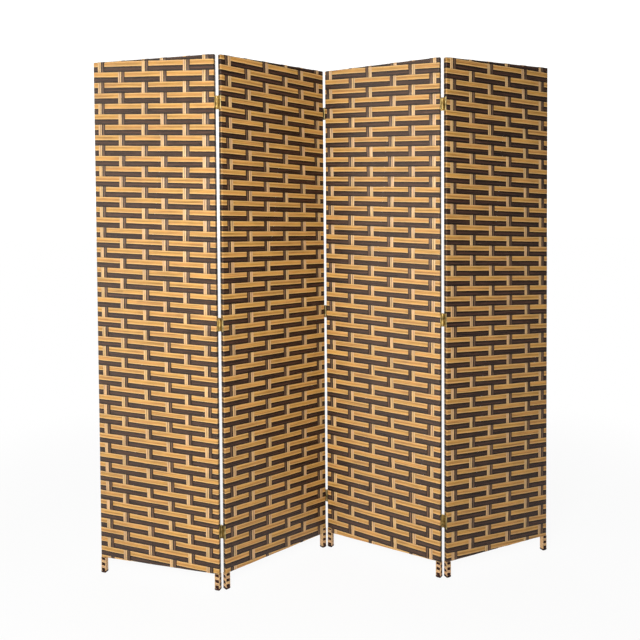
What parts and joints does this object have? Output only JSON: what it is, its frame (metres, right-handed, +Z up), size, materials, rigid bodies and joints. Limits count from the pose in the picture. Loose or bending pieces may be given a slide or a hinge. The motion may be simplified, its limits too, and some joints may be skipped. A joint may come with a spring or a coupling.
{
  "type": "folding screen",
  "caption": "Free-standing zigzag room divider of slim wooden frames dressed in a two-tone basket weave of flat paper ribbon, joined by two-way brass hinges.",
  "frame": {"origin": "on the floor, under the middle of the bounding box of the screen as it stands in its zigzag", "axes": "+Z up; the pictured faces look towards -Y; the row of panels runs along X, first panel at -X"},
  "size_m": [1.6254, 0.3248, 1.8],
  "materials": {
    "frame_wood": "planed softwood, unvarnished",
    "woven_ribbon": "flat twisted-paper ribbon, tan and dark brown, satin",
    "foot_wrap": "narrow paper ribbon, tan and dark brown check, satin",
    "hinge_brass": "dull brass plate"
  },
  "bodies": {
    "panel_1": {"panel_1_left_stile": "frame_wood", "panel_1_right_stile": "frame_wood", "panel_1_top_rail": "frame_wood", "panel_1_middle_rail": "frame_wood", "panel_1_bottom_rail": "frame_wood", "panel_1_woven_cover": "woven_ribbon", "panel_1_left_foot_wrap": "foot_wrap", "panel_1_right_foot_wrap": "foot_wrap", "seam_12_top_hinge_left_leaf": "hinge_brass", "seam_12_middle_hinge_left_leaf": "hinge_brass", "seam_12_bottom_hinge_left_leaf": "hinge_brass"},
    "panel_2": {"panel_2_left_stile": "frame_wood", "panel_2_right_stile": "frame_wood", "panel_2_top_rail": "frame_wood", "panel_2_middle_rail": "frame_wood", "panel_2_bottom_rail": "frame_wood", "panel_2_woven_cover": "woven_ribbon", "panel_2_left_foot_wrap": "foot_wrap", "panel_2_right_foot_wrap": "foot_wrap", "seam_12_top_hinge_right_leaf": "hinge_brass", "seam_12_middle_hinge_right_leaf": "hinge_brass", "seam_12_bottom_hinge_right_leaf": "hinge_brass", "seam_23_top_hinge_left_leaf": "hinge_brass", "seam_23_middle_hinge_left_leaf": "hinge_brass", "seam_23_bottom_hinge_left_leaf": "hinge_brass"},
    "panel_3": {"panel_3_left_stile": "frame_wood", "panel_3_right_stile": "frame_wood", "panel_3_top_rail": "frame_wood", "panel_3_middle_rail": "frame_wood", "panel_3_bottom_rail": "frame_wood", "panel_3_woven_cover": "woven_ribbon", "panel_3_left_foot_wrap": "foot_wrap", "panel_3_right_foot_wrap": "foot_wrap", "seam_23_top_hinge_right_leaf": "hinge_brass", "seam_23_middle_hinge_right_leaf": "hinge_brass", "seam_23_bottom_hinge_right_leaf": "hinge_brass", "seam_34_top_hinge_left_leaf": "hinge_brass", "seam_34_middle_hinge_left_leaf": "hinge_brass", "seam_34_bottom_hinge_left_leaf": "hinge_brass"},
    "panel_4": {"panel_4_left_stile": "frame_wood", "panel_4_right_stile": "frame_wood", "panel_4_top_rail": "frame_wood", "panel_4_middle_rail": "frame_wood", "panel_4_bottom_rail": "frame_wood", "panel_4_woven_cover": "woven_ribbon", "panel_4_left_foot_wrap": "foot_wrap", "panel_4_right_foot_wrap": "foot_wrap", "seam_34_top_hinge_right_leaf": "hinge_brass", "seam_34_middle_hinge_right_leaf": "hinge_brass", "seam_34_bottom_hinge_right_leaf": "hinge_brass"},
    "link_12": {"seam_12_top_hinge_link": "hinge_brass", "seam_12_middle_hinge_link": "hinge_brass", "seam_12_bottom_hinge_link": "hinge_brass"},
    "link_23": {"seam_23_top_hinge_link": "hinge_brass", "seam_23_middle_hinge_link": "hinge_brass", "seam_23_bottom_hinge_link": "hinge_brass"},
    "link_34": {"seam_34_top_hinge_link": "hinge_brass", "seam_34_middle_hinge_link": "hinge_brass", "seam_34_bottom_hinge_link": "hinge_brass"}
  },
  "joints": [
    {"name": "seam_12_front_pin", "type": "hinge", "parent": "panel_2", "child": "link_12", "pos_m": [-0.35539, -0.15857, 0.9], "axis": [0, 0, 1], "range_deg": [0, 179]},
    {"name": "seam_12_back_pin", "type": "hinge", "parent": "link_12", "child": "panel_1", "pos_m": [-0.36909, -0.14693, 0.9], "axis": [0, 0, 1], "range_deg": [-120.91, 58.09]},
    {"name": "seam_23_back_pin", "type": "hinge", "parent": "panel_2", "child": "link_23", "pos_m": [-0.02335, 0.16057, 0.9], "axis": [0, 0, 1], "range_deg": [0, 179]},
    {"name": "seam_23_front_pin", "type": "hinge", "parent": "link_23", "child": "panel_3", "pos_m": [-0.00965, 0.14893, 0.9], "axis": [0, 0, 1], "range_deg": [-105.84, 73.16]},
    {"name": "seam_34_back_pin", "type": "hinge", "parent": "panel_3", "child": "link_34", "pos_m": [0.39199, -0.07642, 0.9], "axis": [0, 0, -1], "range_deg": [-121.49, 57.51]},
    {"name": "seam_34_front_pin", "type": "hinge", "parent": "link_34", "child": "panel_4", "pos_m": [0.40204, -0.09132, 0.9], "axis": [0, 0, -1], "range_deg": [0, 179]}
  ]
}
